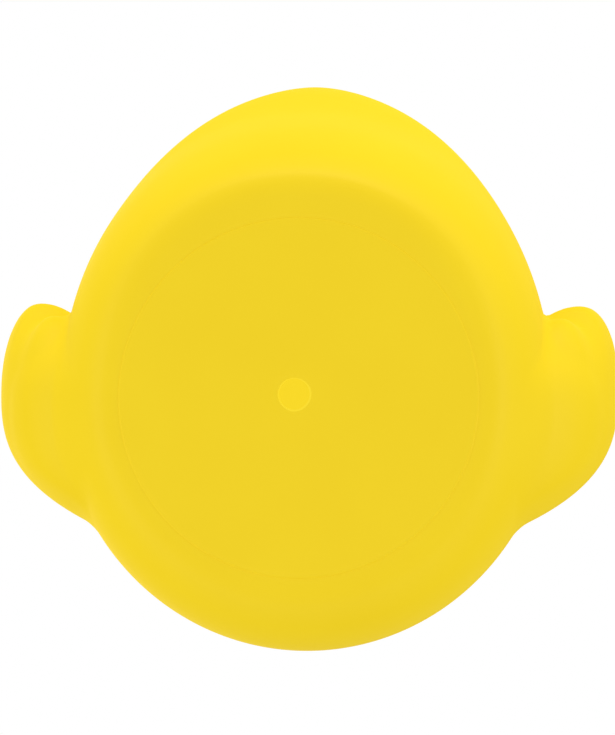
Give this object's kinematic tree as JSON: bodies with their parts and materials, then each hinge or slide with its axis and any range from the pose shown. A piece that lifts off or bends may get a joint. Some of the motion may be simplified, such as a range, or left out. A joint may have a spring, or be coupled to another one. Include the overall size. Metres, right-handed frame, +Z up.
{
  "type": "rubber duck",
  "caption": "Hollow soft-vinyl bath duck moulded in one piece, with raised wings, a rounded bill, an upturned tail and a vent hole in its flat round base.",
  "frame": {"origin": "on the floor under the duck, halfway between the breast and the tail and midway between the wings", "axes": "+Z up, +Y towards the tail, so the breast and the bill face -Y, and the wings point along +X and -X"},
  "size_m": [0.0814, 0.0747, 0.0745],
  "materials": {
    "vinyl": "smooth satin yellow"
  },
  "bodies": {
    "root": {"duck": "vinyl"}
  },
  "joints": []
}
